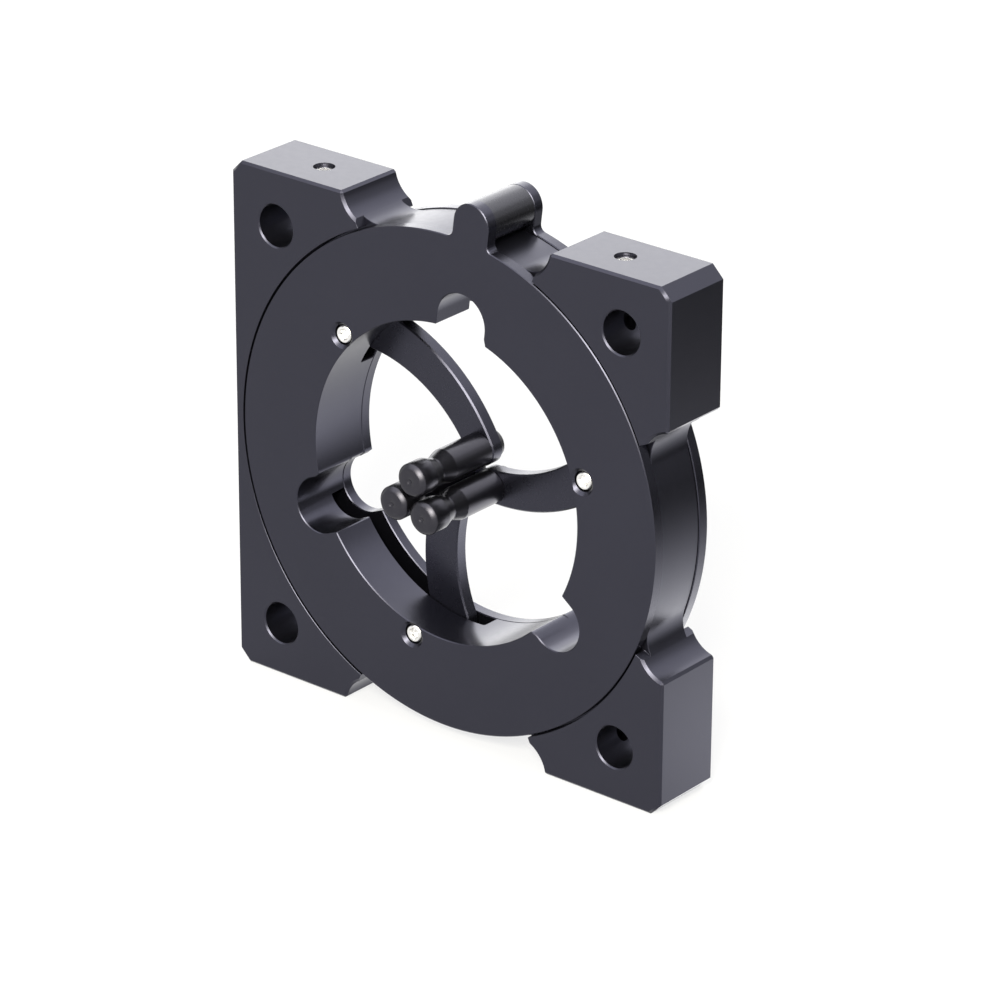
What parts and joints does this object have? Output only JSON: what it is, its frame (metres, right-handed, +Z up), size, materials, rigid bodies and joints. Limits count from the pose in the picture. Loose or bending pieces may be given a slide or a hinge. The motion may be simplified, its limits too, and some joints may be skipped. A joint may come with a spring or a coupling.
{
  "type": "self-centering lens mount",
  "caption": "Square cage plate with a turning ring that swings V-grooved posts together to centre and hold a round lens.",
  "frame": {"origin": "on the optical axis, at the plate's front face", "axes": "+Z up, +X right as seen from the front, +Y from the front face into the mount, along the optical axis"},
  "size_m": [0.076, 0.019, 0.0796],
  "materials": {
    "plate": "satin black anodised",
    "ring_front": "satin black anodised",
    "ring_back": "satin black anodised",
    "handle": "satin black anodised, turned",
    "arms": "satin black anodised",
    "posts": "black anodised, finely turned",
    "bright_screws": "bright stainless",
    "black_screws": "black oxide",
    "dowels": "ground",
    "bushes": "turned",
    "soft_tip": "natural nylon"
  },
  "bodies": {
    "frame": {"frame_plate": "plate", "rod_screw_top_left": "bright_screws", "rod_screw_top_right": "bright_screws", "rod_screw_bottom_left": "bright_screws", "rod_screw_bottom_right": "bright_screws", "ring_lock_screw": "bright_screws", "lock_screw_tip": "soft_tip", "drive_pin_1": "dowels", "drive_pin_2": "dowels", "drive_pin_3": "dowels"},
    "ring": {"front_ring": "ring_front", "back_ring": "ring_back", "handle_bar": "handle", "handle_screw": "black_screws", "pivot_screw_1": "bright_screws", "pivot_screw_2": "bright_screws", "pivot_screw_3": "bright_screws", "pivot_bush_1": "bushes", "pivot_bush_2": "bushes", "pivot_bush_3": "bushes"},
    "arm_1": {"arm_1": "arms", "post_1": "posts", "post_screw_1": "black_screws"},
    "arm_2": {"arm_2": "arms", "post_2": "posts", "post_screw_2": "black_screws"},
    "arm_3": {"arm_3": "arms", "post_3": "posts", "post_screw_3": "black_screws"}
  },
  "joints": [
    {"name": "ring_turn", "type": "hinge", "parent": "frame", "child": "ring", "pos_m": [0, 0, 0], "axis": [0, 1, 0], "range_deg": [0, 12]},
    {"name": "arm_1_swing", "type": "hinge", "parent": "ring", "child": "arm_1", "pos_m": [-0.01815, 0, 0.01705], "axis": [0, -1, 0], "range_deg": [0, 59]},
    {"name": "arm_2_swing", "type": "hinge", "parent": "ring", "child": "arm_2", "pos_m": [-0.00569, 0, -0.02424], "axis": [0, -1, 0], "range_deg": [0, 59]},
    {"name": "arm_3_swing", "type": "hinge", "parent": "ring", "child": "arm_3", "pos_m": [0.02384, 0, 0.0072], "axis": [0, -1, 0], "range_deg": [0, 59]}
  ],
  "couplings": [
    {"joint": "arm_1_swing", "follows": "ring_turn", "ratio": 4.9046},
    {"joint": "arm_2_swing", "follows": "ring_turn", "ratio": 4.9046},
    {"joint": "arm_3_swing", "follows": "ring_turn", "ratio": 4.9046}
  ]
}
